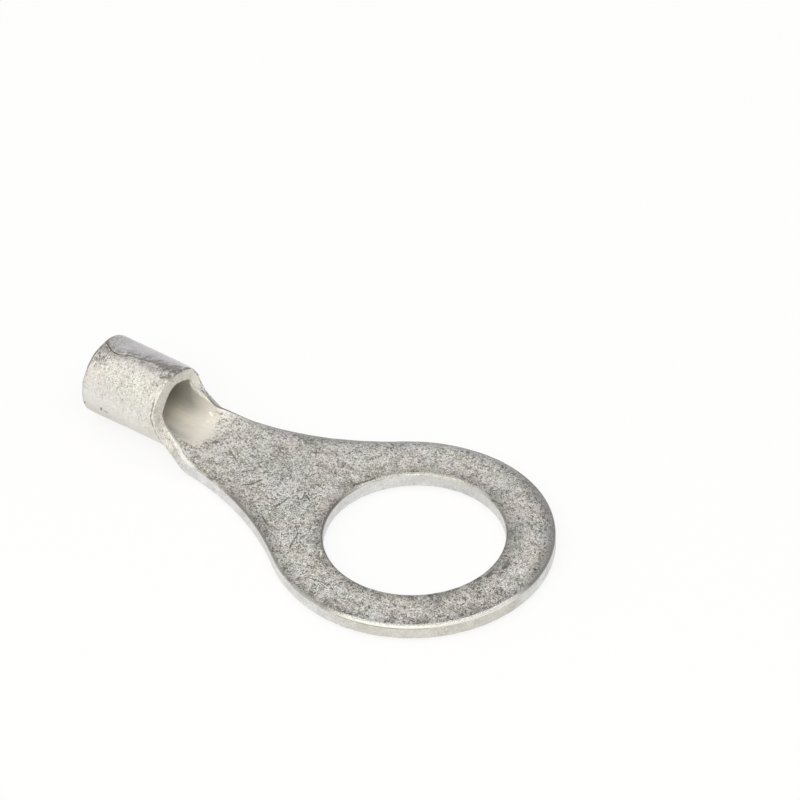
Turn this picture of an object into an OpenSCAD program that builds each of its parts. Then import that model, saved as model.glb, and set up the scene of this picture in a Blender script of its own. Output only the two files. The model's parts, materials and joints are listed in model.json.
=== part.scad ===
// Uninsulated ring terminal: one piece of tin-plated copper sheet.
// A flat ring tongue, a necked-in scoop and a short rolled barrel with a butted seam on top.
// Frame: the stud hole's axis is Z, the tongue's underside is z = 0, the barrel lies along +X.

/* [Ring tongue] */
// Diameter of the stud hole
hole_d = 13; // [8:0.5:15]
// Outside diameter of the ring
ring_d = 20; // [18:0.5:24]
// Thickness of the sheet, in the tongue and in the barrel's wall
sheet_t = 1.15; // [0.8:0.05:1.4]

/* [Neck] */
// Width of the neck where it is narrowest
neck_w = 6; // [5:0.1:7]
// Distance from the hole's axis to the narrowest place
neck_x = 20.6; // [18:0.2:24]
// How much larger the shoulder's radius is than the ring's
shoulder_swell = 2; // [1:0.25:4]
// Angle round the ring at which the shoulder leaves it, from the barrel's side
shoulder_angle = 82; // [74:1:88]

/* [Scoop] */
// Distance from the hole's axis to where the sheet starts to roll up
roll_x = 16.6; // [15:0.2:19]
// How late the roll closes: 1 closes evenly, more closes nearer the barrel
roll_ease = 1.2; // [1:0.05:1.6]
// Radius of the lip between the neck's side and the barrel's front edge
lip_r = 1.8; // [1:0.1:2.2]

/* [Barrel] */
// Distance from the hole's axis to the barrel's front edge
barrel_x = 21.2; // [20.6:0.1:25]
// Length of the barrel
barrel_len = 6.4; // [4:0.2:12]
// Outside diameter of the barrel
barrel_d = 5.9; // [5.4:0.1:7]
// How far the barrel hangs below the tongue's underside
barrel_drop = 0.25; // [0.05:0.05:0.6]
// Depth of the lead-in chamfer round the wire entry
entry_chamfer = 0.3; // [0.1:0.05:0.5]

/* [Seam] */
// Gap between the two butted edges
seam_gap = 0.06; // [0.04:0.01:0.3]
// Depth of the groove that the rounded edges leave along the seam
groove_depth = 0.2; // [0.1:0.05:0.4]
// Width of that groove at the barrel's outside
groove_w = 0.5; // [0.3:0.05:1]
// Radius of the blank's corners, at both ends of the seam
seam_corner_r = 0.35; // [0.2:0.05:0.8]

/* [Hidden] */
tin_colour = [0.74, 0.72, 0.68];
ring_r = ring_d / 2;
barrel_r = barrel_d / 2;
bore_r = barrel_r - sheet_t;
mid_r = barrel_r - sheet_t / 2;
barrel_z = barrel_r - barrel_drop;
// Neck side: a concave arc that ends tangent to the shoulder's convex arc
shoulder_r = ring_r + shoulder_swell;
shoulder_c = -shoulder_swell * [cos(shoulder_angle), sin(shoulder_angle)];
neck_run = neck_x - shoulder_c.x;
neck_rise = neck_w / 2 - shoulder_c.y;
neck_r = (neck_run * neck_run + neck_rise * neck_rise - shoulder_r * shoulder_r)
    / (2 * (shoulder_r - neck_rise));
neck_c = [neck_x, neck_w / 2 + neck_r];
meet_angle = atan2(neck_c.y - shoulder_c.y, neck_c.x - shoulder_c.x);
// The neck's outline is rooted halfway across the ring's band, and starts this many degrees
// past the place where the shoulder touches the ring, so that it crosses the ring's edge
root_r = (ring_r + hole_d / 2) / 2;
root_turn = 5;
// Facets: steps along each arc of the outline, along the roll, round the lip and across the sheet
arc_steps = 14;
roll_steps = 9;
lip_steps = 8;
across_steps = 26;
// Curvature of the flat sheet, as a share of the barrel's
least_curve = 0.0001;
// The scoop's end runs this far inside the barrel's wall, and this much clear of its two skins
root_len = 0.4;
skin = 0.012;
// Cuts run this far past the faces they open
over = 1;
smooth_fn = 96;

// Smooth step from 0 to 1
function ease(u) = let (v = min(max(u, 0), 1)) v * v * (3 - 2 * v);

// Share of the way from flat tongue to barrel at distance x from the hole's axis
function rolled(x) = ease((x - roll_x) / (barrel_x - roll_x));

// Half-width of the flat blank's neck at x, without the lip
function neck_half(x) =
    neck_c.y - sqrt(neck_r * neck_r - (x - neck_x) * (x - neck_x));

// A point of the sheet bent to the roll at x: s runs across the blank, h through its thickness.
// The curvature is never quite zero, so that the flat sheet needs no case of its own
function bent(x, s, h) =
    let (
        curve = max(pow(rolled(x), roll_ease), least_curve) / mid_r,
        turn = s * curve * 180 / PI,
        reach = 1 / curve - (h - sheet_t / 2)
    )
    [x, reach * sin(turn), 1 / curve + sheet_t / 2 - barrel_drop * rolled(x) - reach * cos(turn)];

// Neck's outline on one side, from inside the ring's band to where the roll starts
function side_points() = let (
        first = shoulder_angle - root_turn,
        start = 90 - meet_angle,
        last = asin((neck_x - roll_x) / neck_r)
    )
    concat(
        [root_r * [cos(first), sin(first)]],
        [for (i = [0:arc_steps]) let (a = first + (meet_angle - first) * i / arc_steps)
            shoulder_c + shoulder_r * [cos(a), sin(a)]],
        [for (i = [1:arc_steps]) let (a = start + (last - start) * i / arc_steps)
            [neck_x - neck_r * sin(a), neck_c.y - neck_r * cos(a)]]
    );

// Flat ring tongue with the stud hole through it
module tongue() {
    side = side_points();
    count = len(side);
    mirrored = [for (i = [count - 1:-1:0]) [side[i].x, -side[i].y]];
    difference() {
        union() {
            cylinder(r = ring_r, h = sheet_t, $fn = smooth_fn);
            linear_extrude(sheet_t) polygon(concat(side, mirrored));
        }
        translate([0, 0, -over]) cylinder(d = hole_d, h = sheet_t + 2 * over, $fn = smooth_fn);
    }
}

// Sections of the scoop: where each one lies, its half-width, and its inset from the sheet's skins
function sections() = let (lip_x = barrel_x - lip_r)
    concat(
        [for (i = [0:roll_steps - 1]) let (x = roll_x + (lip_x - roll_x) * i / roll_steps)
            [x, neck_half(x), i == 0 ? 0 : skin]],
        [for (i = [0:lip_steps]) let (a = 90 * i / lip_steps, x = lip_x + lip_r * sin(a))
            [x, neck_half(x) + lip_r * (1 - cos(a)), skin]],
        [[barrel_x + root_len, neck_half(barrel_x) + lip_r, skin]]
    );

// Scoop: the blank's neck rolled up by degrees into the barrel, section by section
module scoop() {
    rows = sections();
    turns = across_steps + 1;
    loop = 2 * turns;
    points = [for (row = rows) for (j = [0:loop - 1])
        let (
            k = j < turns ? j : loop - 1 - j,
            s = row[1] * (2 * k / across_steps - 1),
            h = j < turns ? row[2] : sheet_t - row[2]
        )
        bent(min(row[0], barrel_x), s, h) + [max(row[0] - barrel_x, 0), 0, 0]];
    last = (len(rows) - 1) * loop;
    skins = [for (i = [0:len(rows) - 2]) for (j = [0:loop - 1])
        let (
            a = i * loop + j,
            b = i * loop + (j + 1) % loop
        )
        each [[a, a + loop, b + loop], [a, b + loop, b]]];
    front = [for (k = [0:across_steps - 1]) [k, k + 1, loop - 2 - k, loop - 1 - k]];
    back = [for (f = front) [last + f[3], last + f[2], last + f[1], last + f[0]]];
    polyhedron(points = points, faces = concat(skins, front, back), convexity = 6);
}

// Corner rounding at one end of the seam, as a cutter that opens towards -X
module seam_mouth() {
    reach = seam_corner_r + seam_gap / 2;
    linear_extrude(barrel_r + over) difference() {
        translate([-over, -reach]) square([seam_corner_r + over, 2 * reach]);
        for (side = [-1, 1]) translate([seam_corner_r, side * reach]) circle(r = seam_corner_r, $fn = smooth_fn);
    }
}

// Rolled barrel: a tube with a lead-in at the wire entry and the butted seam on top
module barrel() {
    translate([barrel_x, 0, barrel_z]) difference() {
        rotate([0, 90, 0]) cylinder(r = barrel_r, h = barrel_len, $fn = smooth_fn);
        translate([-over, 0, 0]) rotate([0, 90, 0])
            cylinder(r = bore_r, h = barrel_len + 2 * over, $fn = smooth_fn);
        translate([barrel_len - entry_chamfer, 0, 0]) rotate([0, 90, 0])
            cylinder(r1 = bore_r, r2 = bore_r + entry_chamfer + over, h = entry_chamfer + over, $fn = smooth_fn);
        translate([-over, -seam_gap / 2, 0]) cube([barrel_len + 2 * over, seam_gap, barrel_r + over]);
        translate([-over, 0, barrel_r]) rotate([90, 0, 90])
            linear_extrude(barrel_len + 2 * over)
                polygon([[0, -groove_depth], [groove_w, groove_depth], [-groove_w, groove_depth]]);
        seam_mouth();
        translate([barrel_len, 0, 0]) rotate([0, 0, 180]) seam_mouth();
    }
}

// The whole terminal, one solid of one sheet
module ring_terminal() {
    color(tin_colour) union() {
        tongue();
        scoop();
        barrel();
    }
}

ring_terminal();
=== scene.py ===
import json
import math
from functools import partial

import bpy
import numpy as np
from mathutils import Matrix, Vector


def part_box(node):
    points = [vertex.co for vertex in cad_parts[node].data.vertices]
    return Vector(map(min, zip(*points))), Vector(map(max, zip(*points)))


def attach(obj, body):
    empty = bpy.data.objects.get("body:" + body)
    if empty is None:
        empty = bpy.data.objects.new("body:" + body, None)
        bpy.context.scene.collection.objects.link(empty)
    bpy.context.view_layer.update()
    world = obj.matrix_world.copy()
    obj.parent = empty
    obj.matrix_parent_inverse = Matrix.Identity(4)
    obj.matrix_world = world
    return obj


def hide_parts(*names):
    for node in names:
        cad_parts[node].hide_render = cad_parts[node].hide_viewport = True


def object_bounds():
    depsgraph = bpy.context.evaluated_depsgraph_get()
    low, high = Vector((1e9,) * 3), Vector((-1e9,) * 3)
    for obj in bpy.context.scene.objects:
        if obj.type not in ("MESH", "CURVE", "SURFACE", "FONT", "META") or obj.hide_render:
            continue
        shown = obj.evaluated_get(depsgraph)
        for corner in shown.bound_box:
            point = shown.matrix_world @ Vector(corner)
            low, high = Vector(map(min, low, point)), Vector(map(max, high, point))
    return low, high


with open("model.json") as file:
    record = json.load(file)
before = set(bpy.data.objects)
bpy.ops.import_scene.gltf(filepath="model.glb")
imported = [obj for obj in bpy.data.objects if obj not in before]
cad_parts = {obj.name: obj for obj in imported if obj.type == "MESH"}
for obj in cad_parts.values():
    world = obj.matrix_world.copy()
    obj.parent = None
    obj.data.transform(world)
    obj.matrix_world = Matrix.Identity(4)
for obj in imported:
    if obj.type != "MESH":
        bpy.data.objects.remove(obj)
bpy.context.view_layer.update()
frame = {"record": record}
mounts = {mount["name"]: mount for mount in frame["record"]["mounts"]}
print("Frame loaded")

# The terminal is one flat blank, bent. A point of it is (x, s, h) in millimetres:
# x from the stud hole's axis towards the barrel, s across the blank, h up through the sheet.
mm = 0.001
nodeLow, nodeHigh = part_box("ring_terminal")
sheetT = mounts["stud_hole"]["dims"]["length_mm"]
boreRadius = mounts["wire_barrel"]["dims"]["r_mm"]
blank = dict(
    holeRadius=mounts["stud_hole"]["dims"]["r_mm"],
    ringRadius=-nodeLow.x / mm,
    neckHalf=3.0,            # half of the narrowest width
    neckX=20.6,              # where the neck is narrowest
    shoulderSwell=2.0,       # how much larger the shoulder's radius is than the ring's
    shoulderAngle=82.0,      # where the shoulder leaves the ring, in degrees
    lipRadius=1.8,           # between the neck's side and the barrel's front edge
    rollX=16.6,              # where the sheet starts to roll up
    rollEase=1.2,            # how late the roll closes
    barrelX=21.2,            # front edge of the barrel
    barrelEnd=nodeHigh.x / mm,
    barrelRadius=boreRadius + sheetT,
    barrelDrop=boreRadius + sheetT - mounts["wire_barrel"]["pos_m"][2] / mm,
    seamGap=0.03,
    cornerRadius=0.07,       # corners of the blank at both ends of the seam
    seamFront=-8.6,          # where the seam lies at the barrel's front, in degrees from the top
    seamRear=11.0,           # and at its rear, towards +Y
    seamSwing=5.0,           # how far it swings further towards +Y near the rear end
    seamSwingX=26.0,
    seamSwingWidth=0.55,
    seamTurn=10.0,           # and how far it turns back from seamTurnX on
    seamTurnX=26.5,
    seamStartX=19.0,         # where the lips start to follow the askew seam
    leastCurve=0.0001,       # curvature of the flat sheet, as a share of the barrel's
)
middleRadius = blank["barrelRadius"] - sheetT / 2
blankHalf = math.pi * middleRadius - blank["seamGap"] / 2


def smoothStep(start, end, value):
    # v * v * (3 - 2 * v), with v the clamped share of the way from start to end
    v = np.clip((value - start) / (end - start), 0, 1)
    return v * v * (3 - 2 * v)


def bell(value, middle, width):
    # exp(-((value - middle) / width) ^ 2)
    return np.exp(-((value - middle) / width) ** 2)


def rolled(x):
    # Share of the way from flat tongue to barrel, a smooth step of x
    return smoothStep(blank["rollX"], blank["barrelX"], x)


def skewSeam(x, s):
    # The barrel's ends meet a little askew: s - R * (s / half) ^ 2 * angle(x), the angle going evenly from
    # front to rear, with a swing towards +Y and back near the rear end
    share = (x - blank["barrelX"]) / (blank["barrelEnd"] - blank["barrelX"])
    turn = blank["seamFront"] + (blank["seamRear"] - blank["seamFront"]) * share
    turn = turn + blank["seamSwing"] * bell(x, blank["seamSwingX"], blank["seamSwingWidth"])
    turn = np.radians(turn - blank["seamTurn"] * smoothStep(blank["seamTurnX"], blank["barrelEnd"], x))
    follows = smoothStep(blank["seamStartX"], blank["barrelX"], x)
    return s - middleRadius * (s / blankHalf) ** 2 * turn * follows


def bendSheet(x, s, h):
    # Curvature k = rolled(x) ^ ease / middle radius; reach = 1 / k - (h - t / 2);
    # point = (x, reach * sin(s * k), 1 / k + t / 2 - drop * rolled(x) - reach * cos(s * k))
    s = skewSeam(x, s)
    share = rolled(x)
    curve = np.maximum(share ** blank["rollEase"], blank["leastCurve"]) / middleRadius
    reach = 1 / curve - (h - sheetT / 2)
    rise = 1 / curve + sheetT / 2 - blank["barrelDrop"] * share
    return np.stack([x, reach * np.sin(s * curve), rise - reach * np.cos(s * curve)], -1)


# Outline of the blank: arcs and straight edges, each as points and outward normals
outline = dict(
    cell=0.125,              # spacing of the grid along the outline
    edgeInset=0.3,           # how far the swept edge reaches in from the outline
    cutX=11.0,               # where the polar grid of the ring meets the grid of the neck
    lipCells=15,
    cornerCells=6,
)


def cellCount(length):
    # length / cell, rounded, and at least 2
    return max(2, int(round(length / outline["cell"])))


def arcPoints(centre, radius, start, end, side=1, count=None):
    # centre + radius * (cos a, sin a), with the normal side * (cos a, sin a)
    count = count or cellCount(math.radians(abs(end - start)) * radius)
    a = np.radians(np.linspace(start, end, count + 1))
    ray = np.stack([np.cos(a), np.sin(a)], -1)
    return np.array(centre) + radius * ray, side * ray


def linePoints(start, end, normal, count=None):
    # start + (end - start) * u, with one normal all along
    run = np.array(end) - np.array(start)
    count = count or cellCount(np.hypot(*run))
    u = np.linspace(0, 1, count + 1)[:, None]
    points = np.array(start) + run * u
    return points, np.tile(np.array(normal, float), (count + 1, 1))


def neckCircle():
    # The neck's side is a concave arc that touches the shoulder's circle and is narrowest at neckX
    swell = blank["shoulderSwell"]
    turn = math.radians(blank["shoulderAngle"])
    shoulder = np.array([-swell * math.cos(turn), -swell * math.sin(turn)])
    shoulderRadius = blank["ringRadius"] + swell
    run = blank["neckX"] - shoulder[0]
    rise = blank["neckHalf"] - shoulder[1]
    radius = (run * run + rise * rise - shoulderRadius ** 2) / (2 * (shoulderRadius - rise))
    centre = np.array([blank["neckX"], blank["neckHalf"] + radius])
    meet = math.degrees(math.atan2(centre[1] - shoulder[1], centre[0] - shoulder[0]))
    return shoulder, shoulderRadius, centre, radius, meet


def lipPoints(count):
    # x = lipX + r * sin(a), s = neck's half-width at x + r * (1 - cos(a)), a from 0 to 90 degrees
    _, _, centre, radius, _ = neckCircle()
    a = np.radians(np.linspace(0, 90, count + 1))
    x = blank["barrelX"] - blank["lipRadius"] * (1 - np.sin(a))
    drop = np.sqrt(radius ** 2 - (x - centre[0]) ** 2)
    s = centre[1] - drop + blank["lipRadius"] * (1 - np.cos(a))
    slope = (x - centre[0]) / drop
    normal = np.stack([-(slope * np.cos(a) + np.sin(a)), np.cos(a)], -1)
    return np.stack([x, s], -1), normal / np.linalg.norm(normal, axis=1, keepdims=True)


def outlineSide():
    # One side of the blank from the ring's free end to the corner at the barrel's rear
    shoulder, shoulderRadius, centre, radius, meet = neckCircle()
    corner = blank["cornerRadius"]
    lipX = blank["barrelX"] - blank["lipRadius"]
    cutTurn = 180 + math.degrees(math.acos((centre[0] - outline["cutX"]) / radius))
    lipTurn = 180 + math.degrees(math.acos((centre[0] - lipX) / radius))
    lipPart = lipPoints(outline["lipCells"])
    lipTop = lipPart[0][-1, 1]
    front, rear = blank["barrelX"], blank["barrelEnd"]
    edge = blankHalf - corner
    return dict(
        ring=arcPoints((0, 0), blank["ringRadius"], 180, blank["shoulderAngle"]),
        shoulder=arcPoints(shoulder, shoulderRadius, blank["shoulderAngle"], meet),
        flare=arcPoints(centre, radius, 180 + meet, cutTurn, -1),
        neck=arcPoints(centre, radius, cutTurn, lipTurn, -1),
        lip=lipPart,
        front=linePoints((front, lipTop), (front, edge), (-1, 0)),
        frontCorner=arcPoints((front + corner, edge), corner, 180, 90, 1, outline["cornerCells"]),
        seam=linePoints((front + corner, blankHalf), (rear - corner, blankHalf), (0, 1)),
        rearCorner=arcPoints((rear - corner, edge), corner, 90, 0, 1, outline["cornerCells"]),
    )


def mirrored(points):
    # (x, -s)
    return points * np.array([1, -1])


def insetParts(parts):
    # The same outline, drawn in by the edge's width: point - normal * inset, and straight round the barrel
    inset = outline["edgeInset"]
    front, rear, half = blank["barrelX"] + inset, blank["barrelEnd"] - inset, blankHalf - inset
    cores = {name: part[0] - part[1] * inset for name, part in parts.items()}
    lipTop = parts["lip"][0][-1, 1]
    lines = dict(front=((front, lipTop), (front, half)), frontCorner=((front, half), (front, half)),
        seam=((front, half), (rear, half)), rearCorner=((rear, half), (rear, half)))
    for name, (start, end) in lines.items():
        cores[name] = linePoints(start, end, (0, 0), len(cores[name]) - 1)[0]
    return cores


def closedRim(side, end, columns):
    # One side, the rear edge on the barrel's columns, and the other side back again
    across = columns[::-1][1:-1]
    rear = np.stack([np.full(len(across), end), across], -1)
    joined = np.concatenate([side[name][:-1] for name in side] + [side["rearCorner"][-1:]])
    return np.concatenate([joined, rear, mirrored(joined)[::-1][:-1]])


def acrossCount(parts):
    # Cells across the neck, as many as fit where it meets the ring's grid
    return 2 * cellCount(parts["neck"][0][0, 1])


def barrelColumns(parts, front):
    # Columns across the barrel: those of the neck, then the free front edge on both sides
    lipTop = parts["lip"][0][-1, 1]
    middle = np.linspace(-1, 1, acrossCount(parts) + 1) * lipTop
    wing = front[1:, 1]
    return np.concatenate([-wing[::-1], middle, wing])


def ringGrid(parts, cores):
    # Polar grid: from the hole's inset circle out along each ray to the inset outline or to the cut
    side = np.concatenate([cores[name][:-1] for name in ("ring", "shoulder", "flare")])
    corner = cores["neck"][0]
    across = np.linspace(1, -1, acrossCount(parts) + 1)
    cut = np.stack([np.full(len(across), corner[0]), corner[1] * across], -1)
    outer = np.concatenate([side, cut, mirrored(side)[::-1][:-1]])
    innerRadius = blank["holeRadius"] + outline["edgeInset"]
    inner = outer / np.linalg.norm(outer, axis=1, keepdims=True) * innerRadius
    rows = cellCount(blank["ringRadius"] - blank["holeRadius"] - 2 * outline["edgeInset"])
    share = np.linspace(0, 1, rows + 1)[:, None, None]
    return inner + (outer - inner) * share


def neckGrid(parts, cores):
    # Rows across the neck at each inset point of its side, s = half-width * t with t from -1 to 1
    side = np.concatenate([cores["neck"][:-1], cores["lip"]])
    across = np.linspace(-1, 1, acrossCount(parts) + 1)
    return np.stack([np.tile(side[:, :1], (1, len(across))), side[:, 1:] * across], -1)


def barrelGrid(parts, cores):
    # Rows at the inset points of the seam's edge, columns as at the rear edge
    columns = barrelColumns(parts, cores["front"])
    return np.stack(np.meshgrid(cores["seam"][:, 0], columns, indexing="ij"), -1)


# Section of the cut edge, from the upper face round to the lower one
edgeForm = dict(
    topRadius=0.16,
    bottomRadius=0.08,
    flatCells=3,
    topCells=5,
    wallCells=6,
    bottomCells=4,
)


def edgeSection():
    # (d, h): d in from the outline, h up through the sheet; flat, quarter circle, wall, quarter circle, flat
    inset, r1, r2 = outline["edgeInset"], edgeForm["topRadius"], edgeForm["bottomRadius"]
    upper = np.radians(np.linspace(90, 180, edgeForm["topCells"] + 1))
    lower = np.radians(np.linspace(180, 270, edgeForm["bottomCells"] + 1))
    flatD = np.linspace(inset, r1, edgeForm["flatCells"] + 1)[:-1]
    footD = np.linspace(r2, inset, edgeForm["flatCells"] + 1)[1:]
    wallH = np.linspace(sheetT - r1, r2, edgeForm["wallCells"] + 1)[1:-1]
    d = np.concatenate([flatD, r1 + r1 * np.cos(upper), np.zeros(len(wallH)), r2 + r2 * np.cos(lower), footD])
    h = np.concatenate([np.full(len(flatD), sheetT), sheetT - r1 + r1 * np.sin(upper), wallH,
        r2 + r2 * np.sin(lower), np.zeros(len(footD))])
    return d, h


def edgeGrid(points, cores):
    # The section carried along a rim: point + (core - point) * d / inset, at height h
    d, h = edgeSection()
    flat = points[None] + (cores - points)[None] * (d / outline["edgeInset"])[:, None, None]
    height = np.broadcast_to(h[:, None, None], flat.shape[:2] + (1,))
    return np.concatenate([flat, height], -1)


def gridFaces(rows, columns, closed, flip):
    # Corners of each cell of a grid, its last column joined to its first where it is closed
    across = columns if closed else columns - 1
    i, j = np.meshgrid(np.arange(rows - 1), np.arange(across), indexing="ij")
    k = (j + 1) % columns
    corners = [i * columns + j, (i + 1) * columns + j, (i + 1) * columns + k, i * columns + k]
    cells = np.stack(corners, -1).reshape(-1, 4)
    return cells[:, ::-1] if flip else cells


def blankSurface():
    # All grids of the blank as one list of (x, s, h) points and of four-cornered faces, closed all round
    parts = outlineSide()
    cores = insetParts(parts)
    side = {name: part[0] for name, part in parts.items()}
    rim = closedRim(side, blank["barrelEnd"], barrelColumns(parts, side["front"]))
    core = closedRim(cores, blank["barrelEnd"] - outline["edgeInset"], barrelColumns(parts, cores["front"]))
    ringRows = ringGrid(parts, cores)
    ray = ringRows[0] / np.linalg.norm(ringRows[0], axis=1, keepdims=True)
    grids = []
    flats = ((ringRows, True), (neckGrid(parts, cores), False), (barrelGrid(parts, cores), False))
    for flatGrid, closed in flats:
        for height, flip in ((sheetT, closed), (0.0, not closed)):
            lift = np.full(flatGrid.shape[:2] + (1,), height)
            grids.append((np.concatenate([flatGrid, lift], -1), closed, flip))
    grids.append((edgeGrid(rim, core), True, True))
    grids.append((edgeGrid(ray * blank["holeRadius"], ringRows[0]), True, False))
    points, faces, start = [], [], 0
    for grid, closed, flip in grids:
        points.append(grid.reshape(-1, 3))
        faces.append(start + gridFaces(grid.shape[0], grid.shape[1], closed, flip))
        start += grid.shape[0] * grid.shape[1]
    return np.concatenate(points), np.concatenate(faces), rim


def merged(points, faces):
    # Points that coincide become one, and a face that loses a corner becomes a triangle
    keys = np.round(points, 5) + 0.0  # to 0.00001 mm, and -0.0 becomes 0.0
    _, first, index = np.unique(keys, axis=0, return_index=True, return_inverse=True)
    faces = index.reshape(-1)[faces]
    same = faces == np.roll(faces, -1, axis=1)
    quads = faces[~same.any(1)]
    slim = faces[same.sum(1) == 1]
    keep = ~same[same.sum(1) == 1]
    triangles = slim[keep].reshape(-1, 3)
    return points[first], quads, triangles


def randomWaves(points, wavelength, seed, count=32, spread=(0.75, 1.35)):
    # Sine waves in random directions, their lengths spread by a factor: sum of sin(k . p + phase), times
    # sqrt(2 / count) so that the sum swings by about 1
    random = np.random.default_rng(seed)
    direction = random.normal(size=(count, points.shape[1]))
    direction /= np.linalg.norm(direction, axis=1, keepdims=True)
    k = direction * 2 * math.pi / (wavelength * random.uniform(*spread, (count, 1)))
    phase = random.uniform(0, 2 * math.pi, count)
    total = np.zeros(len(points))
    for wave, shift in zip(k, phase):
        total += np.sin(points @ wave + shift)
    return total * math.sqrt(2 / count)


# How the press left the sheet: rolled-over edges, thinned lips and a slightly uneven skin. A pair is
# where a change begins and where it is complete, and a middle comes with its width
wear = dict(
    rollWidth=0.55,          # how far the upper face rolls over at a cut edge
    rollDepth=0.06,
    rollFades=(14.5, 17.5),  # along x
    thinDepth=0.02,          # how much each face loses at the scoop's lips
    thinWidth=0.9,
    thinStarts=(16.5, 19.0),
    thinFades=(22.0, 23.5),
    swing=0.012,             # uneven skin, over a few millimetres
    swingLength=7.0,
    swingStarts=(0, 6),
    dimple=0.004,            # and over a few tenths
    dimpleLength=0.9,
    ragged=0.03,             # unevenness of the barrel's outer edges
    raggedLength=0.8,
    raggedReach=0.6,         # how far it goes in from an edge
    raggedSides=(3.5, 4.5),  # it spares the middle of the front edge
    raggedRear=0.5,          # its share at the rear
    chamfer=0.3,             # lead-in of the wire entry
    bulge=0.18,              # where one lip was pressed outwards
    bulgeX=(18.2, 0.9),
    bulgeSide=(1.5, 3.0),
    rimWidth=0.8,            # width of the pressed strip along the lips
    frontDepth=1.2,          # how far behind the front edge the barrel's mouth is changed
    mouthX=20.6,             # where the mouth begins
    farThin=0.20,            # how much the far lip's inner edge is pressed away
    farStarts=(19.2, 20.4),
    farFades=(20.7, 21.5),
    farSide=(-5.5, -4.5),
    farSlant=0.42,           # how far that edge lies beyond the outer one, across the sheet
    farRound=0.14,           # how much its outer edge is rounded off
    roundX=(20.9, 0.6),
    roundSide=(-6.4, -5.0),
    farCorner=0.20,          # how much the bore is widened where the far half starts to close
    cornerSide=(-5.4, 0.8),
    nearSlant=0.22,          # how far the near half's inner front edge stands forward
    nearSide=(5.0, 1.3),
    rearRound=0.22,          # radius of the rounded outer edge at the wire entry
    rearShare=0.8,           # how steep that round ends, where 1 is upright
)


# Scratches, pits and spots, each from (x, s) to (x, s) in millimetres on the upper or the lower face,
# with its strength, below zero for a bright one
marks = dict(
    upper=(
        (16.24, 0.36, 15.22, 0.87, 1.0), (13.14, 2.81, 12.73, 2.46, 1.0), (12.73, 2.46, 12.39, 1.62, 1.0),
        (9.78, 3.28, 9.65, 2.03, 1.0), (6.31, 6.30, 6.76, 4.76, 0.8), (6.76, 4.76, 7.46, 4.09, 0.6),
        (11.34, -3.43, 11.30, -3.50, 0.9), (8.76, 1.55, 9.06, 0.88, 0.7), (9.06, 0.88, 8.18, 1.46, 0.6),
        (6.04, 5.40, 6.06, 5.43, 1.0), (6.71, -1.63, 5.89, -3.23, 0.8), (9.82, -0.60, 9.68, -1.23, 0.6),
        (-7.37, -1.23, -7.43, -0.71, 2.2), (-6.98, 0.30, -7.02, 0.66, 2.6), (-2.24, -6.15, -3.27, -6.07, 0.6),
        (-7.02, 3.56, -7.08, 3.60, 2.4), (-4.90, 4.70, -4.94, 4.73, 2.2), (-3.02, 5.39, -3.05, 5.42, 1.4),
        (6.21, -4.68, 6.08, -4.16, 0.6), (9.98, 4.72, 9.04, 5.26, 0.8), (3.44, 8.18, 1.54, 7.89, 0.6),
        (4.26, 5.34, 4.00, 5.68, -0.9), (19.60, -2.30, 19.35, -2.10, -0.9),
        (19.45, -1.55, 19.38, -1.50, -0.9),
    ),
    lower=(
        (25.85, 3.33, 25.82, 3.36, 1.6), (25.60, 3.28, 25.26, 3.23, 0.6), (27.40, 3.10, 27.35, 3.14, 1.0),
        (23.98, 4.60, 23.95, 4.62, 0.6), (21.36, 6.84, 21.40, 6.86, 2.2), (21.82, 6.64, 21.78, 6.66, 1.4),
    ),
)


def toNearestMark(flat, segments):
    # For each point the step from the closest point of its nearest mark, and that mark's strength:
    # closest = start + (end - start) * u, with u the clamped share of the way along the mark
    far = 1000.0
    best = np.full(len(flat), far)
    found = np.tile([far, far, 0.0], (len(flat), 1))
    for x0, s0, x1, s1, strength in segments:
        start, run = np.array([x0, s0]), np.array([x1 - x0, s1 - s0])
        u = np.clip((flat - start) @ run / (run @ run), 0, 1)[:, None]
        step = flat - start - run * u
        distance = np.hypot(*step.T) / abs(strength)
        nearer = distance < best
        best[nearer] = distance[nearer]
        found[nearer, :2] = step[nearer]
        found[nearer, 2] = strength
    return found


def edgeDistance(points, rim):
    # Shortest distance in the flat from each point to the outline, in pieces to save memory
    found = np.empty(len(points))
    chunk = 1000
    for start in range(0, len(points), chunk):
        part = points[start:start + chunk, None, :2] - rim[None]
        found[start:start + chunk] = np.sqrt((part ** 2).sum(-1).min(1))
    return found


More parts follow.
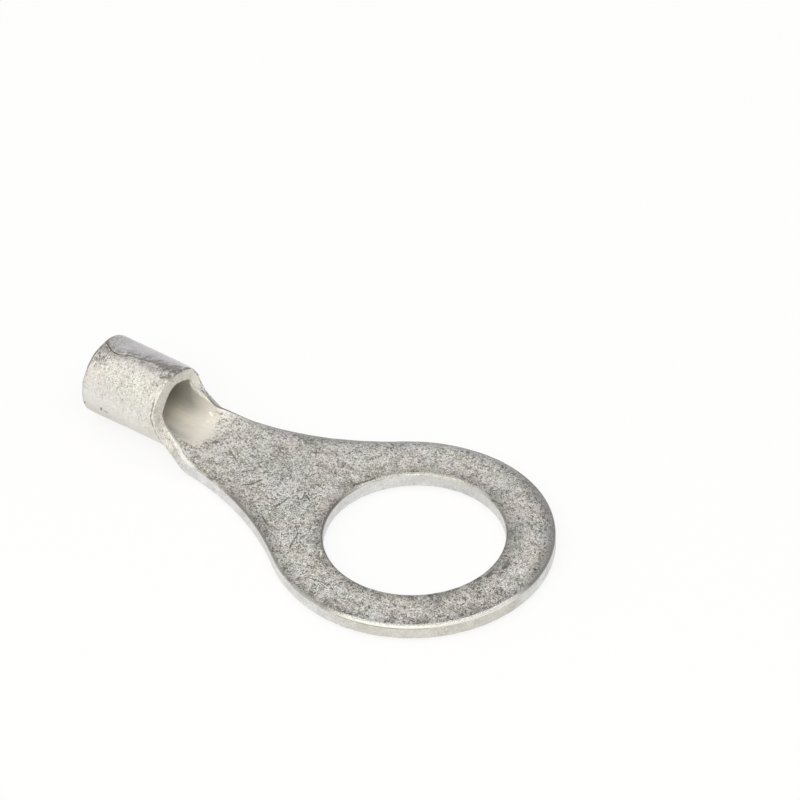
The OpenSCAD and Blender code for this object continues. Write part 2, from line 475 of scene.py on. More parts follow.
def pressSheet(points, rim):
    # Both faces lose a little at the edges: h' = low + h / t * (t - high - low). Each loss is its depth
    # times shares of 0 to 1 along x, across and towards the edge. Waves then lift the skin and shift the
    # barrel's ragged edges, and one lip bulges out while the other's edge lies slanted
    x, s, h = points.T
    toRim = edgeDistance(points, rim)
    nearest = np.minimum(toRim, np.hypot(x, s) - blank["holeRadius"])
    fromFront = x - blank["barrelX"]
    fromRear = blank["barrelEnd"] - x
    upward = h / sheetT
    tongue = 1 - smoothStep(*wear["rollFades"], x)
    flare = smoothStep(*wear["thinStarts"], x) * (1 - smoothStep(*wear["thinFades"], x))
    lip = flare * np.clip(1 - toRim / wear["thinWidth"], 0, 1) ** 2
    rimShare = np.clip(1 - toRim / wear["rimWidth"], 0, 1)
    frontShare = np.clip(1 - fromFront / wear["frontDepth"], 0, 1)
    roundShare = np.clip(1 - fromRear / wear["rearRound"], 0, 1)
    mouth = x > wear["mouthX"]
    pressedLip = smoothStep(*wear["farStarts"], x) * (1 - smoothStep(*wear["farFades"], x))
    pressedLip = pressedLip * smoothStep(*wear["farSide"], s) * (s < 0)
    high = wear["rollDepth"] * tongue * np.clip(1 - nearest / wear["rollWidth"], 0, 1) ** 2
    high = high + wear["thinDepth"] * lip + np.clip(wear["chamfer"] - fromRear, 0, None)
    high = high + wear["farThin"] * pressedLip * rimShare
    high = high + wear["farCorner"] * frontShare * bell(s, *wear["cornerSide"]) * mouth
    outerLip = bell(x, *wear["roundX"]) * smoothStep(*wear["roundSide"], s) * (s < 0)
    low = wear["thinDepth"] * lip + wear["farRound"] * rimShare ** 2 * outerLip
    low = low + wear["rearRound"] * (1 - np.sqrt(1 - wear["rearShare"] * roundShare ** 2))
    level = low + upward * (sheetT - high - low)
    skin = wear["swing"] * randomWaves(points[:, :2], wear["swingLength"], 3)
    grain = wear["dimple"] * randomWaves(points, wear["dimpleLength"], 5)
    atFront = smoothStep(wear["raggedReach"], 0, np.abs(fromFront))
    rough = atFront * smoothStep(*wear["raggedSides"], np.abs(s))
    rough = rough + wear["raggedRear"] * smoothStep(wear["raggedReach"], 0, fromRear)
    shift = wear["ragged"] * rough * (1 - upward) ** 2 * randomWaves(points, wear["raggedLength"], 7)
    shift = shift - wear["nearSlant"] * upward * frontShare ** 2 * bell(s, *wear["nearSide"]) * mouth
    bulge = wear["bulge"] * bell(x, *wear["bulgeX"]) * smoothStep(*wear["bulgeSide"], s)
    slant = wear["farSlant"] * pressedLip * rimShare * upward
    lifted = level + skin * smoothStep(*wear["swingStarts"], x) + grain
    return np.stack([x + shift, s + bulge - slant, lifted], -1), nearest


def terminalMesh():
    # The bent mesh, and on each point the flat blank's place, the distance to an edge and the nearest mark
    points, faces, rim = blankSurface()
    points, quads, triangles = merged(points, faces)
    pressed, nearest = pressSheet(points, rim)
    place = bendSheet(*pressed.T) * mm
    mesh = bpy.data.meshes.new("tinnedTerminal")
    mesh.from_pydata(place, [], quads.tolist() + triangles.tolist())
    mesh.polygons.foreach_set("use_smooth", np.ones(len(mesh.polygons), bool))
    above = points[:, 2:] > sheetT / 2
    upperStep, lowerStep = [toNearestMark(points[:, :2], marks[face]) for face in ("upper", "lower")]
    step = np.where(above, upperStep, lowerStep)
    kept = dict(sheet=("FLOAT_VECTOR", "vector", points), toEdge=("FLOAT", "value", nearest),
        toMark=("FLOAT_VECTOR", "vector", step))
    for name, (kind, field, values) in kept.items():
        attribute = mesh.attributes.new(name, kind, "POINT")
        attribute.data.foreach_set(field, values.astype(np.float32).ravel())
    mesh.update()
    return mesh


def newObject(name, data):
    # An object with these data, in the scene
    made = bpy.data.objects.new(name, data)
    bpy.context.scene.collection.objects.link(made)
    return made


mesh = terminalMesh()
terminal = newObject("tinnedTerminal", mesh)
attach(terminal, "root")
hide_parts("ring_terminal")
print("Terminal made:", len(mesh.vertices), "points,", len(mesh.polygons), "faces")


def linear(colour):
    # sRGB hex to linear: c / 12.92 up to 0.04045, and ((c + 0.055) / 1.055) ^ 2.4 above
    parts = [int(colour[k:k + 2], 16) / 255 for k in (1, 3, 5)]
    return [c / 12.92 if c <= 0.04045 else ((c + 0.055) / 1.055) ** 2.4 for c in parts] + [1.0]


# What the word after the kind of a node sets, as in "Math ADD"
nodeModes = dict(Math="operation", VectorMath="operation", Mix="data_type", MapRange="interpolation_type",
    Attribute="attribute_name")


def addNode(tree, kind, *inputs, **settings):
    # One node: the inputs go to its sockets in their order, the settings to sockets by name, and stops to
    # a ramp. A node that is an input stands for its first output in use, and a hex text for its linear
    # colour
    kind, _, mode = kind.partition(" ")
    node = tree.nodes.new("ShaderNode" + kind)
    if mode:
        setattr(node, nodeModes[kind], mode)
    if "stops" in settings:
        elements = node.color_ramp.elements
        for place, colour in settings.pop("stops"):
            elements.new(place).color = linear(colour)
        elements.remove(elements[0])
        elements.remove(elements[-1])
    sockets = [socket for socket in node.inputs if socket.enabled]
    named = [(node.inputs[name], value) for name, value in settings.items()]
    for socket, value in [*zip(sockets, inputs), *named]:
        if isinstance(value, bpy.types.Node):
            value = next(output for output in value.outputs if output.enabled)
        if isinstance(value, bpy.types.NodeSocket):
            tree.links.new(value, socket)
        else:
            socket.default_value = linear(value) if isinstance(value, str) else value
    return node


def product(add, *factors):
    # first * second * third and so on. A factor written as (value, start, end, low, high) is a ramp: low
    # where the value is start, high where it is end, and 0 and 1 if low and high are left out
    result = None
    for factor in factors:
        if isinstance(factor, tuple):
            factor = add("MapRange", *factor)
        result = factor if result is None else add("Math MULTIPLY", result, factor)
    return result


def changed(add, tone, *changes):
    # tone * (1 + change * share), for each pair of a change and the share of it that acts at a place
    for change, share in changes:
        factor = add("Math MULTIPLY_ADD", change, share, 1.0)
        tone = product(add, tone, factor)
    return tone


def newMaterial(name):
    # A material without nodes, and addNode bound to its tree, which the functions here call add
    material = bpy.data.materials.new(name)
    material.use_nodes = True
    material.node_tree.nodes.clear()
    return material, partial(addNode, material.node_tree)


# Matt tin plate on stamped copper sheet. Tin gives a soft silvery white; the upper face is dull with
# grains and fine wrinkles of the plating, and the drawn and cut faces are smoother and paler.
# In the functions place is (x, s, h), the blank's own millimetres, edge is the distance to its nearest
# edge, outside is 1 on the outer half of the ring's band and beyond, and level is the grain's brightness.
# The near side is +Y and the far side -Y. A ramp's numbers are where it starts and ends, in such
# millimetres or as levels of a noise, and then its values there, as shares or factors
tinLook = dict(
    wall="#E4E4E3",          # cut faces round the tongue
    freeEnd="#DCDAD3",       # the same, darker as painted shade, round the ring's free end
    front="#EAE8DF",         # cut face at the barrel's front, lighter as painted light
    scoop="#F4F1EA",
    bore="#EAE7DB",          # darker tint of the drawn face further in, painted shade of the bore
    corner="#918F89",        # painted shade on the rounded corner between the upper face and a cut face
    holeShade="#84827C",     # the same painted shade inside the hole
    cornerHighlight="#FFFFF6",     # painted highlight where the corner faces the light
    holeHighlight="#F4F3EA",    # the same painted highlight at the hole
    # bright spots, and painted glints on the barrel's front corner
    spotAndGlint="#FFFFF8",
    upperRamp=((0.02, "#7E7B73"), (0.28, "#BBB9B1"), (0.52, "#DCD9D2"), (0.76, "#EFECE5"), (0.98, "#FFFDF8")),
    outerRamp=((0.02, "#98958A"), (0.30, "#D0CEC7"), (0.55, "#E3E1DC"), (0.98, "#FAF8F6")),
    untinted="#FFFFFF",
    underside="#F2F2EF",     # cool painted shade on the barrel's lower side
    farSide="#F8F7FB",       # and cool painted shade beyond the seam
    farRimShade="#FAFBFF",        # cool painted shade on the upper face along the tongue's far side
    dirtAndShade="#5D594F",          # dirt and flux in the seam, the scratches and round the rear edge, the dark line at the ring's near corner, and painted shadow along the barrel's front edge
    dirtAndShadeShare=0.7,           # how much of it covers the metal
    grainScale=3.4,          # per millimetre: flakes 0.3 mm across
    fineScale=7.5,           # per millimetre: grains 0.13 mm across, twice the real ones so that they show
    mottleScale=1.1,         # per millimetre
    tintScale=0.5,           # per millimetre
    meanLevel=0.6,           # middle of the grain's levels
    rimShadeTone=0.60,            # painted shade: brightness of the upper face right at an edge
    rimStart=0.3,            # where that brightness starts to rise, and how far it takes
    rimWidth=1.5,
    bandMiddle=(blank["ringRadius"] + blank["holeRadius"]) / 2,
    grainHeight=0.00004,     # metres that the grain stands proud, and that the scratches go deep
    roughness=0.42,
    scoopRoughness=0.8,
    cutRoughness=0.68,
    cornerRoughness=0.22,
)


def plateGrain(add, place):
    # Flakes: distance to scattered points, warped by noise; grains: fine noise; together around 0.6.
    # Beside them a broad mottle around 0
    warp = add("TexNoise", place, 2.6, 2.0).outputs["Color"]
    centred = add("VectorMath SUBTRACT", warp, (0.5, 0.5, 0.5))
    moved = add("VectorMath MULTIPLY_ADD", centred, (0.7, 0.7, 0.7), place)
    flakes = add("TexVoronoi", moved, tinLook["grainScale"])
    grains = add("TexNoise", place, tinLook["fineScale"], 3.0, 0.6, Distortion=1.2)
    mottle = add("TexNoise", place, tinLook["mottleScale"], 4.0, 0.65)
    fine = add("Math MULTIPLY_ADD", grains, 3.5, -1.68)
    fine = add("Math MULTIPLY_ADD", flakes, -0.32, fine)
    fine = add("Math ADD", fine, 0.59)
    return fine, add("Math MULTIPLY_ADD", mottle, 0.8, -0.4)


def wrinkles(add, place, scale, seed):
    # Thin curls of the plating: narrow bands where a noise crosses its middle, in patches
    apart = add("VectorMath ADD", place, (seed, -seed, seed))
    noise = add("TexNoise", apart, scale, 2.0, Distortion=0.6)
    away = add("Math SUBTRACT", noise, 0.5)
    size = add("Math ABSOLUTE", away)
    patches = add("TexNoise", apart, scale * 0.5, 1.0)
    return product(add, (size, 0.045, 0.015), (patches, 0.44, 0.56))


def markLines(add, place):
    # 1 on a mark and 0 beyond its ragged border, from length of the step / (noise * strength); first the
    # scratches and pits, then the bright spots, whose strength is below zero
    step = add("Attribute toMark").outputs["Vector"]
    stepX, stepS, strength = add("SeparateXYZ", step).outputs
    flat = add("CombineXYZ", stepX, stepS)
    length = add("VectorMath LENGTH", flat)
    ragged = add("TexNoise", place, 6.0, 2.0)
    border = product(add, ragged, strength)
    ratio = add("Math DIVIDE", length, border)
    size = add("Math ABSOLUTE", ratio)
    shown = add("MapRange", size, 0.20, 0.08)
    dark = add("Math GREATER_THAN", strength, 0.0)
    scratched = product(add, shown, dark)
    return scratched, add("Math SUBTRACT", shown, scratched)


def frontShadowLine(add, place, edge, x, s, h):
    # A dark line of painted shadow along the barrel's front edge, wavy by noise: on the far half where
    # edge + h is small, on the near half and down the near lip 0.16 mm behind the corner. Beside it painted
    # glints, bright specks on the near half's corner
    ragged = add("TexNoise", place, 2.6, 3.0, 0.6)
    swing = add("Math MULTIPLY_ADD", ragged, -0.5, 0.25)
    wavy = add("Math ADD", edge, swing)
    onCorner = add("Math ADD", wavy, h)
    far = add("MapRange", onCorner, 0.13, 0.06)
    behind = add("Math ADD", wavy, -0.16)
    away = add("Math ABSOLUTE", behind)
    near = product(add, (away, 0.09, 0.03), (h, 0.06, 0.02), (s, 5.6, 5.0, 0.2))
    nearHalf = add("Math GREATER_THAN", s, 0.0)
    line = add("Mix", nearHalf, far, near)
    start = add("MapRange", s, -1.0, 1.0, 17.5, 19.6)
    past = add("Math SUBTRACT", x, start)
    fades = add("MapRange", x, 24.5, 24.0, 0.3)
    specks = add("TexNoise", place, 5.0, 2.0)
    # Painted glints on the near half's corner
    glintShare = product(add, (specks, 0.5, 0.58), (onCorner, 0.25, 0.17), nearHalf)
    paintedGlints = product(add, glintShare, (x, 18.0, 19.5, 0.0, 0.4), fades)
    return product(add, line, (past, 0.0, 0.8), fades), paintedGlints


def rearPatch(add, x, offMiddle, s):
    # 1 on a patch round the seam's rear end, from the distance to it, and 0.4 of that on the far side
    flat = add("CombineXYZ", x, offMiddle)
    away = add("VectorMath DISTANCE", flat, (27.0, 6.75, 0.0))
    return product(add, (away, 0.95, 0.45), (s, -0.1, 0.1, 0.4))


def seamDirt(add, place, x, h, offMiddle, patch):
    # Patches of dirt on the outside: along the seam, wider towards the barrel's front, with a solid core;
    # weaker round the seam's rear end; and a thin line round the rear edge above
    frontSeam = add("MapRange", x, 21.3, 24.8, 0.5, 0.08)
    wide = add("Math ADD", offMiddle, frontSeam)
    seam = add("MapRange", wide, 6.95, 7.40)
    weaker = product(add, patch, 0.48)
    share = add("Math MAXIMUM", seam, weaker)
    patches = add("TexNoise", place, 2.4, 4.0, 0.8)
    core = product(add, (wide, 7.50, 7.64), (patches, 0.34, 0.44))
    along = add("Math MAXIMUM", product(add, share, (patches, 0.38, 0.58)), core)
    barrel = add("Math GREATER_THAN", x, 18.0)
    rearLine = product(add, (x, 27.38, 27.46), (offMiddle, 4.9, 5.7))
    along = add("Math MAXIMUM", product(add, along, barrel), rearLine)
    return product(add, along, (h, 0.30, 0.10))


def scoopShare(add, place, edge, x, s, grain):
    # 1 in the smooth scoop, where x + 1.8 * noise - bend + 0.8 * grain passes 19.35 to 19.85 mm; the bend
    # holds it back on the far side and along the near lip. Then the change of level of the border beside
    # it: darker on the near side, brighter on the far one
    wobble = add("TexNoise", place, 1.4, 4.0, 0.7)
    reach = add("Math MULTIPLY_ADD", wobble, 1.8, x)
    farBend = add("MapRange", s, -0.9, -3.3, -0.2, 1.1)
    lipBend = product(add, (edge, 1.5, 0.2, 0.0, 3.2), (s, 0.0, 1.0))
    for bend in (farBend, lipBend):
        reach = add("Math SUBTRACT", reach, bend)
    speckled = add("Math MULTIPLY_ADD", grain, 0.8, reach)
    drawn = add("MapRange", speckled, 19.35, 19.85)
    return drawn, product(add, (reach, 18.5, 19.1), (s, -0.6, 0.9, -0.12, 0.16))


def scoopColour(add, place, x, s):
    # Brightest a little to the far side of the middle, darker into the bore and up both walls as painted
    # shade, with faint streaks along: colour * deep(x) * (1 - near(s) * inside(x)) * (1 - far(s) * inside(x))
    # * streaky
    # Painted shade: darker into the bore and up both walls
    deep = add("MapRange SMOOTHSTEP", x, 21.8, 23.4, 1.04, 0.80)
    near = add("MapRange SMOOTHSTEP", s, 0.1, 1.6, 0.0, -0.34)
    far = add("MapRange SMOOTHSTEP", s, -0.9, -2.8, 0.0, -0.36)
    inside = add("MapRange", x, 18.3, 21.0)
    streaky = 0.90
    for stretch, detail in (((0.7, 4.5, 1.0), 3.0), ((1.8, 9.0, 1.0), 2.0)):
        drawnOut = add("VectorMath MULTIPLY", place, stretch)
        streaks = add("TexNoise", drawnOut, 1.0, detail)
        streaky = add("Math MULTIPLY_ADD", streaks, 0.10, streaky)
    tone = product(add, changed(add, deep, (near, inside), (far, inside)), streaky)
    within = add("MapRange", x, 21.0, 22.6)
    colour = add("Mix RGBA", within, tinLook["scoop"], tinLook["bore"])
    return add("VectorMath SCALE", colour, tone)


def contrasted(add, level, contrast):
    # mean + (level - mean) * contrast
    apart = add("Math ADD", level, -tinLook["meanLevel"])
    return add("Math MULTIPLY_ADD", apart, contrast, tinLook["meanLevel"])


def upperLook(add, place, edge, x, s, radius, outside, level, border):
    # Grains of the tongue: sharper on the near side and softer right along the far edge, darker towards
    # every edge as painted shade and beside the scoop, with clouds. The tone is a product of ramps: lighter
    # towards the scoop and on the near side, darker beside the hole's free end, and darker and cooler along
    # the far edge as painted shade
    # Along the far edge: painted shade, with softer grain
    farRimShade = product(add, (s, 0.0, -1.5), outside)
    closeTo = add("MapRange", edge, 0.5, 0.25, 0.0, -0.6)
    softer = add("Math MULTIPLY_ADD", farRimShade, closeTo, 1.0)
    level = contrasted(add, level, product(add, softer, (s, -3.0, 1.5, 1.0, 1.25)))
    level = add("Math SUBTRACT", level, border)
    grains = add("ValToRGB", level, stops=tinLook["upperRamp"])
    uneven = add("TexNoise", place, 1.2, 3.0)
    wobbly = add("Math MULTIPLY_ADD", uneven, 0.8, edge)
    # Painted shade: the upper face darkens towards every edge
    rimEnd = tinLook["rimStart"] + tinLook["rimWidth"]
    rim = add("MapRange SMOOTHSTEP", wobbly, tinLook["rimStart"], rimEnd, tinLook["rimShadeTone"], 1.0)
    flat = add("MapRange", x, 18.3, 16.8)
    rim = add("Mix", flat, 1.0, rim)
    clouds = add("TexNoise", place, 0.3, 1.0)
    cloudy = add("Math MULTIPLY_ADD", clouds, 0.42, 0.843)
    besideHole = add("MapRange", radius, 8.1, 7.5, 0.0, -0.17)
    freeEnd = add("MapRange", x, -4.4, -5.6)
    nearSide = add("MapRange", s, 0.5, 3.0, 0.0, 0.08)
    awayFromEnd = add("MapRange", x, -3.0, 0.0)
    farEnd = add("MapRange", x, 0.0, -4.5, 0.0, -0.17)
    # Painted shade, darker and cooler, along the far edge
    coolShade = product(add, (edge, 1.2, 0.5), farRimShade)
    tone = product(add, rim, cloudy, (x, 12.5, 16.4, 1.0, 1.33), (x, 7.0, 9.0, 1.0, 0.95))
    tone = changed(add, tone, (besideHole, freeEnd), (nearSide, awayFromEnd), (farEnd, coolShade))
    grains = add("VectorMath SCALE", grains, tone)
    tint = add("Mix RGBA", coolShade, tinLook["untinted"], tinLook["farRimShade"])
    return add("VectorMath MULTIPLY", grains, tint)


def outerLook(add, place, x, s, level, patch):
    # The barrel's outside: grainy near the seam and the front, smoother below, cooler below and on the far
    # half as painted shade, a little darker below at the rear, with clouds:
    # colour = ramp(0.6 + (level - 0.6) * grainy) * tint * tone
    uneven = add("TexNoise", place, 0.8, 3.0)
    towardsRear = add("Math MULTIPLY_ADD", x, -0.15, 3.6)
    swing = add("Math MULTIPLY_ADD", uneven, 3.0, s)
    rise = add("Math ADD", swing, towardsRear)
    grainy = add("MapRange", rise, 4.4, 7.0, 0.12, 0.75)
    beyond = add("MapRange", s, -2.0, -5.0, 0.0, 0.4)
    grainy = add("Math MAXIMUM", grainy, beyond)
    grainy = add("Math MULTIPLY_ADD", patch, 0.7, grainy)
    colour = add("ValToRGB", contrasted(add, level, grainy), stops=tinLook["outerRamp"])
    # Painted shade, slightly cool, on the lower side and on the far half
    below = add("MapRange", s, 4.0, 2.8)
    tint = add("Mix RGBA", below, tinLook["untinted"], tinLook["underside"])
    farHalf = product(add, beyond, 2.5)
    tint = add("Mix RGBA", farHalf, tint, tinLook["farSide"])
    colour = add("VectorMath MULTIPLY", colour, tint)
    rear = add("MapRange", x, 22.8, 26.5, 0.0, -0.08)
    clouds = add("TexNoise", place, 0.45, 2.0)
    cloudy = add("Math MULTIPLY_ADD", clouds, 0.26, 0.885)
    tone = changed(add, cloudy, (rear, below))
    return add("VectorMath SCALE", colour, tone), grainy


def wallLook(add, place, x, s, h, radius, level):
    # Cut faces: the tongue's colour, the barrel's, lighter as painted light, or the free end's, darker as
    # painted shade, times a tone with faint grains and clouds. The tone falls as painted shade at the hole's
    # far side and on the far lip, whose outer end is brighter and more speckled, and on the near lip it rises
    # along the inner edge as a painted highlight and falls on the outer half as painted shade
    forward = add("MapRange", x, 18.6, 20.6)
    near = add("MapRange", s, -1.5, 1.5)
    # Painted light and shade: the barrel's front face lighter, the free end darker
    colour = add("Mix RGBA", forward, tinLook["wall"], tinLook["front"])
    freeEnd = add("MapRange SMOOTHSTEP", x, 2.0, -3.5)
    colour = add("Mix RGBA", product(add, freeEnd, near), colour, tinLook["freeEnd"])
    nearLip = product(add, (x, 17.6, 19.0, 0.0, 0.3), near)
    wing = add("MapRange", s, 5.2, 3.8)
    speckled = add("Math MULTIPLY_ADD", nearLip, wing, 0.20)
    grains = add("Math ADD", level, -tinLook["meanLevel"])
    tone = add("Math MULTIPLY_ADD", grains, speckled, 0.99)
    clouds = add("TexNoise", place, 0.9, 3.0)
    clouds = add("Math SUBTRACT", clouds, 0.5)
    cloudy = add("MapRange", radius, 6.9, 7.2, 0.22, 0.38)
    tone = add("Math MULTIPLY_ADD", clouds, cloudy, tone)
    # Painted shade on the far lip, brighter at its outer end
    farLip = add("MapRange", s, -3.9, -3.1, 1.14, 0.52)
    outerGrain = add("MapRange", s, -4.2, -3.6, 0.0, 1.6)
    beyond = product(add, (s, 0.0, -1.0), forward, (x, 23.0, 22.0))
    farTone = add("Mix", beyond, 1.0, changed(add, farLip, (grains, outerGrain)))
    # Painted shade at the hole's far side
    holeBack = add("MapRange SMOOTHSTEP", s, -4.4, -6.0, 0.0, -0.11)
    towardsNeck = add("MapRange", x, -3.2, -0.5)
    # Painted highlight along the near lip's inner edge, painted shade on its outer half
    inner = product(add, (h, 0.7, 0.95, 0.0, 0.20), (x, 17.2, 18.2))
    outward = product(add, (h, 0.85, 0.65, 0.0, -0.25), (x, 18.4, 19.2))
    slanted = add("Math ADD", inner, outward)
    slanted = product(add, slanted, (x, 20.3, 19.7))
    tone = changed(add, product(add, tone, farTone), (holeBack, towardsNeck), (slanted, near))
    return add("VectorMath SCALE", colour, tone)


def shearLine(add, place, x, s, h):
    # A thin dark line, in pieces, where the rolled corner gives way to the cut face on the ring's +Y side
    away = add("Math ADD", h, 0.21 - sheetT)
    size = add("Math ABSOLUTE", away)
    pieces = add("TexNoise", place, 0.7, 3.0)
    tongue = add("Math LESS_THAN", x, 16.0)
    return product(add, (size, 0.045, 0.02), (pieces, 0.44, 0.54, 0.0, 0.7), (s, 6.6, 7.4), tongue)


def cornerLook(add, place, edge, x, s, h, outside):
    # Share and colour of the rounded corner between the upper face and a cut face: dark grey as painted
    # shade, and bright as a painted highlight on the ring's near side and on the hole's far side, where
    # s * sign(radius - band's middle) is above zero: in patches beside the ring and the scoop, evenly along
    # the hole and round the free end. Both lips get the painted highlight too
    sign = add("Math MULTIPLY_ADD", outside, 2.0, -1.0)
    side = product(add, sign, s)
    uneven = add("TexNoise", place, 1.3, 4.0, 0.7)
    patchy = add("MapRange", uneven, 0.42, 0.56)
    nearlyEven = add("Math MULTIPLY_ADD", patchy, 0.25, 0.75)
    inHole = add("Math SUBTRACT", 1.0, outside)
    alongHole = product(add, (x, -4.8, 0.6, 0.0, 0.8), nearlyEven, inHole)
    freeEnd = product(add, (x, 1.0, -1.5, 0.0, 0.9), outside)
    besideRing = add("MapRange", x, 7.5, 5.0, 0.0, 0.25)
    besideScoop = add("MapRange", x, 12.5, 14.5, 0.0, 0.45)
    beside = add("Math MAXIMUM", besideRing, besideScoop)
    share = product(add, patchy, beside)
    for other in (alongHole, freeEnd):
        share = add("Math MAXIMUM", share, other)
    towardsNeck = add("MapRange", x, -5.4, -4.2)
    kept = add("Math MAXIMUM", towardsNeck, outside)
    # Where the corner gets its painted highlight instead of its painted shade
    highlightShare = product(add, (side, -0.5, 2.0), share, kept)
    farLip = product(add, (x, 19.9, 20.6, 0.0, 0.62), (s, 0.0, -1.0))
    nearLip = product(add, (x, 16.4, 17.4, 0.0, 0.85), (x, 19.0, 19.6, 1.0, 0.4), (s, 0.0, 1.0))
    nearLip = product(add, nearLip, (x, 21.1, 20.7))
    for lip in (farLip, nearLip):
        highlightShare = add("Math MAXIMUM", highlightShare, lip)
    # Painted highlight colour, and painted shade colour of the corner
    bright = add("Mix RGBA", outside, tinLook["holeHighlight"], tinLook["cornerHighlight"])
    cornerShade = add("Mix RGBA", outside, tinLook["holeShade"], tinLook["corner"])
    colour = add("Mix RGBA", highlightShare, cornerShade, bright)
    wider = add("Math MULTIPLY_ADD", highlightShare, -0.11, edge)
    return product(add, (h, sheetT - 0.18, sheetT - 0.14), (wider, 0.17, 0.11)), colour


def tinted(add, place, x, colour, plated):
    # Slight tints of the plating a few millimetres across: colour * (low + span * noise) in each channel,
    # fainter on the cut faces and in the scoop
    noise = add("TexNoise", place, tinLook["tintScale"], 3.0).outputs["Color"]
    span, low = (0.16, 0.10, 0.16), (0.92, 0.953, 0.92)
    tint = add("VectorMath MULTIPLY_ADD", noise, span, low)
    coloured = add("VectorMath MULTIPLY", colour, tint)
    share = product(add, (x, 18.0, 16.5, 0.5), plated)
    share = add("Math MAXIMUM", share, 0.25)
    return add("Mix RGBA", share, colour, coloured)


def tinPlate():
    # The faces' colours are laid over one another by their shares, then dirt, painted shadow lines, bright
    # spots and painted glints over them
    material, add = newMaterial("matt tin plate on copper")
    place = add("Attribute sheet").outputs["Vector"]
    edge = add("Attribute toEdge").outputs["Fac"]
    x, s, h = add("SeparateXYZ", place).outputs
    radius = add("VectorMath LENGTH", add("CombineXYZ", x, s))
    outside = add("Math GREATER_THAN", radius, tinLook["bandMiddle"])
    offMiddle = add("Math ABSOLUTE", s)
    upper = add("MapRange", h, sheetT - 0.06, sheetT - 0.015)
    outer = add("MapRange", h, 0.08, 0.02)
    plated = add("Math MAXIMUM", upper, outer)
    # The level of the grain, and each face's colour in turn
    fine, broad = plateGrain(add, place)
    grain = add("Math ADD", fine, broad)
    level = grain
    for strength, scale, seed in ((-0.28, 1.9, 3.0), (0.30, 2.4, 11.0)):
        curls = wrinkles(add, place, scale, seed)
        level = add("Math MULTIPLY_ADD", curls, strength, level)
    outerLevel = add("Math MULTIPLY_ADD", broad, -0.7, level)
    patch = rearPatch(add, x, offMiddle, s)
    drawn, border = scoopShare(add, place, edge, x, s, grain)
    grains = upperLook(add, place, edge, x, s, radius, outside, level, border)
    upperColour = add("Mix RGBA", drawn, grains, scoopColour(add, place, x, s))
    outerColour, grainy = outerLook(add, place, x, s, outerLevel, patch)
    colour = wallLook(add, place, x, s, h, radius, level)
    colour = add("Mix RGBA", upper, colour, upperColour)
    colour = add("Mix RGBA", outer, colour, outerColour)
    colour = tinted(add, place, x, colour, plated)
    corner, cornerColour = cornerLook(add, place, edge, x, s, h, outside)
    colour = add("Mix RGBA", corner, colour, cornerColour)
    # Dirt, the dark corner line and the painted shadow line, then bright spots and painted glints
    scratched, spotsAndGlints = markLines(add, place)
    line, paintedGlints = frontShadowLine(add, place, edge, x, s, h)
    dirtAndShadeMask = scratched
    for share in (line, seamDirt(add, place, x, h, offMiddle, patch), shearLine(add, place, x, s, h)):
        dirtAndShadeMask = add("Math MAXIMUM", dirtAndShadeMask, share)
    dirtAndShadeMask = product(add, dirtAndShadeMask, tinLook["dirtAndShadeShare"])
    # Dirt, with the painted shadow line along the barrel's front edge
    colour = add("Mix RGBA", dirtAndShadeMask, colour, tinLook["dirtAndShade"])
    # Bright spots, and the painted glints on the front corner
    spotsAndGlints = add("Math MAXIMUM", spotsAndGlints, paintedGlints)
    colour = add("Mix RGBA", spotsAndGlints, colour, tinLook["spotAndGlint"])
    # Bump: the grain stands a few hundredths of a millimetre proud, and the scratches go as deep
    smooth = add("Math SUBTRACT", 1.0, drawn)
    rough = product(add, smooth, upper)
    gritty = product(add, outer, grainy)
    both = add("Math MULTIPLY_ADD", gritty, 0.6, rough)
    relief = product(add, both, level)
    relief = add("Math SUBTRACT", relief, scratched)
    bump = add("Bump", Strength=1.0, Distance=tinLook["grainHeight"], Height=relief)
    # The scoop is matt, the cut faces nearly so, and the rounded corners are smooth
    inScoop = product(add, (x, 17.8, 18.9), upper)
    matt = add("Mix", inScoop, tinLook["roughness"], tinLook["scoopRoughness"])
    matt = add("Mix", plated, tinLook["cutRoughness"], matt)
    matt = add("Mix", corner, matt, tinLook["cornerRoughness"])
    shader = add("BsdfPrincipled", colour, Metallic=1.0, Roughness=matt, Normal=bump)
    add("OutputMaterial", shader)
    return material


mesh.materials.append(tinPlate())
print("Materials made")


# White paper floor
stage = dict(
    halfSize=1.5,
    colour="#F4F4F4",
    white="#FFFFFF",
    whiteShare=0.8,          # how much of the floor's tone is plain white, the rest takes the shadow
)


def floorPaper():
    # Matt white, and for what is seen straight, mirrored or through something mostly plain white
    material, add = newMaterial("white paper floor")
    rays = add("LightPath").outputs
    seen = rays["Is Camera Ray"]
    for other in ("Is Glossy Ray", "Is Transmission Ray"):
        seen = add("Math MAXIMUM", seen, rays[other])
    share = add("Math MULTIPLY", seen, stage["whiteShare"])
    diffuse = add("BsdfDiffuse", stage["colour"])
    white = add("Emission", stage["white"], 1.0)
    mix = add("MixShader", share, diffuse, white)
    add("OutputMaterial", mix)
    return material


def makeFloor():
    # A square in the plane that the terminal lies on
    half = stage["halfSize"]
    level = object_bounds()[0].z
    corners = [(-half, -half, level), (half, -half, level), (half, half, level), (-half, half, level)]
    paper = bpy.data.meshes.new("floor")
    paper.from_pydata(corners, [], [(0, 1, 2, 3)])
    paper.materials.append(floorPaper())
    floor = newObject("floor", paper)


makeFloor()
print("Floor made")

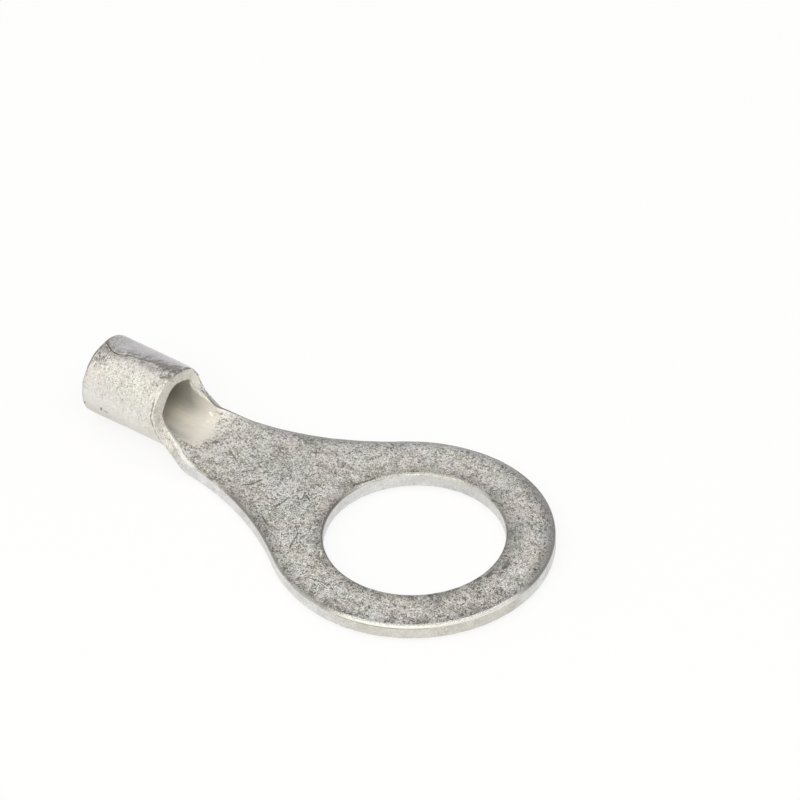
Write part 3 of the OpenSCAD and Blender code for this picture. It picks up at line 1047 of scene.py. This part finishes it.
# Soft studio light: a pale tent, brighter overhead and on the camera's left, and one softbox
light = dict(
    farColour="#F4F3F8",     # the tent's shaded side
    brightColour="#FFFCF4",  # and its brighter side
    horizonShare=0.58,       # radiance of the tent at the floor's edge, far from the camera's left
    overheadShare=1.0,       # and overhead
    brightAzimuth=165.0,     # azimuth of the brighter side
    brightShare=0.46,        # radiance that it adds there, at the floor's edge
    brightSpread=(-0.6, 0.8),  # cosine of the angle from it where it ends and where it is full
    riseEnd=0.9,             # sine of the elevation where the tent is as bright as overhead
    boxSide=0.35,
    boxDistance=0.5,
    boxAzimuth=205.0,        # azimuth 0 looks along +Y
    boxElevation=50.0,
    boxColour="#FFFBF2",
    boxStrength=2.0,         # radiance that the softbox adds, where 1 is white
)


def towards(azimuth, elevation):
    # Unit vector from the object to a camera or lamp: (sin a * cos e, -cos a * cos e, sin e)
    a, e = math.radians(azimuth), math.radians(elevation)
    return Vector((math.sin(a) * math.cos(e), -math.cos(a) * math.cos(e), math.sin(e)))


def makeTent():
    # Radiance = horizon + (overhead - horizon) * rise + bright * (1 - rise) * side, with rise the
    # smooth step of the height of a direction, and side the share of it towards the bright azimuth
    world = bpy.data.worlds.new("studio")
    world.use_nodes = True
    world.node_tree.nodes.clear()
    add = partial(addNode, world.node_tree)
    direction = add("TexCoord").outputs["Generated"]
    height = add("SeparateXYZ", direction).outputs["Z"]
    rise = add("MapRange SMOOTHSTEP", height, 0.0, light["riseEnd"])
    plain = add("MapRange", rise, 0.0, 1.0, light["horizonShare"], light["overheadShare"])
    bright = towards(light["brightAzimuth"], 0.0)
    facing = add("VectorMath DOT_PRODUCT", direction, bright)
    side = add("MapRange SMOOTHSTEP", facing, *light["brightSpread"])
    low = add("MapRange", rise, 0.0, 1.0, light["brightShare"], 0.0)
    radiance = add("Math MULTIPLY_ADD", low, side, plain)
    colour = add("Mix RGBA", side, light["farColour"], light["brightColour"])
    background = add("Background", colour, radiance)
    add("OutputWorld", background)
    bpy.context.scene.world = world


def makeSoftbox():
    # A square lamp that faces the terminal. With the area A and the power W its radiance is W / (A * pi)
    lamp = bpy.data.lights.new("softbox", "AREA")
    lamp.size = light["boxSide"]
    lamp.color = linear(light["boxColour"])[:3]
    lamp.energy = light["boxStrength"] * light["boxSide"] ** 2 * math.pi
    softbox = newObject("softbox", lamp)
    back = towards(light["boxAzimuth"], light["boxElevation"])
    softbox.location = back * light["boxDistance"]
    softbox.rotation_euler = back.to_track_quat("Z", "Y").to_euler()


makeTent()
makeSoftbox()
print("Lights made")

# Camera at the photograph's viewing angle: a long lens, so that the view is almost parallel
view = dict(
    lens=540.0,              # millimetres
    sensor=36.0,
    nearest=0.01,            # metres
    azimuth=217.978,         # azimuth 0 looks along +Y
    elevation=40.143,
    roll=-1.840,             # degrees
    distance=0.86108,
    aim=(0.009609, -0.011139, 0.00115),
)


def makeCamera():
    # It stands back from the aim by the distance, looks at it and is rolled about its own axis
    data = bpy.data.cameras.new("camera")
    data.lens = view["lens"]
    data.sensor_width = view["sensor"]
    data.clip_start = view["nearest"]
    camera = newObject("camera", data)
    back = towards(view["azimuth"], view["elevation"])
    turn = back.to_track_quat("Z", "Y").to_matrix().to_4x4()
    roll = Matrix.Rotation(math.radians(view["roll"]), 4, "Z")
    camera.matrix_world = Matrix.Translation(Vector(view["aim"]) + back * view["distance"]) @ turn @ roll
    bpy.context.scene.camera = camera


makeCamera()
bpy.context.scene.view_settings.view_transform = "Standard"
print("Camera made")
